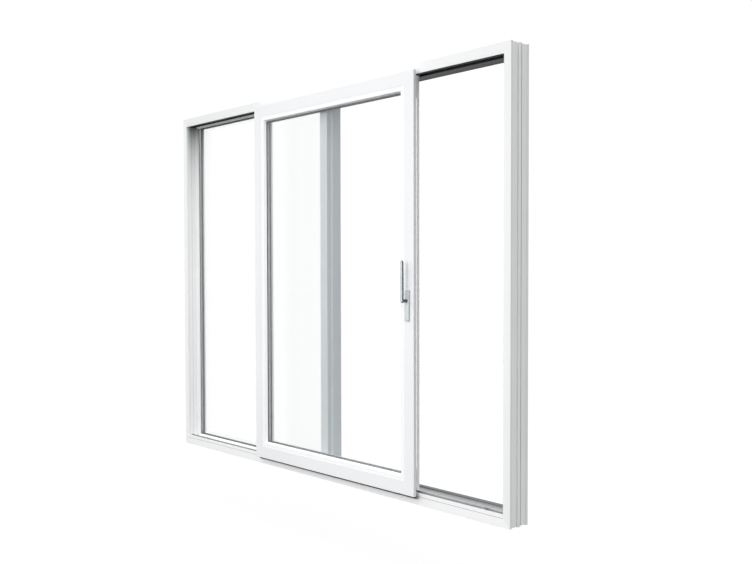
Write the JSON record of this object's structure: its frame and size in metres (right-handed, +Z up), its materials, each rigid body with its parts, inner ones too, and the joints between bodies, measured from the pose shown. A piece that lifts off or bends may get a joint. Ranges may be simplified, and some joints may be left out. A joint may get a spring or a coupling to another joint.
{
  "type": "sliding patio door",
  "caption": "White framed sliding patio door with a fixed light and a sash that slides in front of it on a bottom rail, with a lever handle.",
  "frame": {"origin": "middle of the outer frame's bottom face, halfway along its width and its depth", "axes": "+Z up, +X along the width towards the lock side as seen from the room, +Y from the room side to the outside"},
  "size_m": [2.8, 0.215, 2.15],
  "materials": {
    "frame_pvc": "satin white",
    "sash_pvc": "satin white",
    "bead_pvc": "satin white",
    "clear_glass": "clear float glass, faint green edge",
    "spacer_bar": "matt grey",
    "glazing_gasket": "matt",
    "flange_seal": "matt light grey",
    "rail_aluminium": "mill finish",
    "threshold_aluminium": "satin grey anodised",
    "carriage_steel": "zinc plated",
    "wheel_polymer": "moulded",
    "buffer_rubber": "matt",
    "lock_steel": "satin",
    "handle_metal": "satin silver"
  },
  "bodies": {
    "frame": {"bottom_track": "frame_pvc", "centre_mullion": "frame_pvc", "drain_hoods": "frame_pvc", "fixed_bead_bottom": "bead_pvc", "fixed_bead_left": "bead_pvc", "fixed_bead_right": "bead_pvc", "fixed_bead_top": "bead_pvc", "fixed_gasket_inner": "glazing_gasket", "fixed_gasket_outer": "glazing_gasket", "fixed_pane_inner": "clear_glass", "fixed_pane_outer": "clear_glass", "fixed_spacer": "spacer_bar", "frame_head": "frame_pvc", "frame_sill": "frame_pvc", "head_guide": "frame_pvc", "head_infill": "threshold_aluminium", "jamb_infill": "frame_pvc", "left_jamb": "frame_pvc", "lock_keepers": "lock_steel", "right_jamb": "frame_pvc", "running_rail": "rail_aluminium", "sill_infill": "threshold_aluminium", "track_buffers": "buffer_rubber"},
    "sash": {"guide_shoes": "wheel_polymer", "handle_backplate": "handle_metal", "left_roller_carriage": "carriage_steel", "left_wheels": "wheel_polymer", "lock_faceplate": "lock_steel", "lock_stile": "sash_pvc", "meeting_stile": "sash_pvc", "right_roller_carriage": "carriage_steel", "right_wheels": "wheel_polymer", "sash_bead_bottom": "bead_pvc", "sash_bead_left": "bead_pvc", "sash_bead_right": "bead_pvc", "sash_bead_top": "bead_pvc", "sash_bottom_rail": "sash_pvc", "sash_flange_seal": "flange_seal", "sash_gasket_inner": "glazing_gasket", "sash_gasket_outer": "glazing_gasket", "sash_pane_inner": "clear_glass", "sash_pane_outer": "clear_glass", "sash_spacer": "spacer_bar", "sash_top_rail": "sash_pvc"},
    "handle": {"handle_lever": "handle_metal"}
  },
  "joints": [
    {"name": "sash_slide", "type": "slide", "parent": "frame", "child": "sash", "axis": [1, 0, 0], "range_m": [-0.789, 0.542]},
    {"name": "handle_turn", "type": "hinge", "parent": "sash", "child": "handle", "pos_m": [0.792, -0.1505, 1], "axis": [0, -1, 0], "range_deg": [0, 180]}
  ]
}
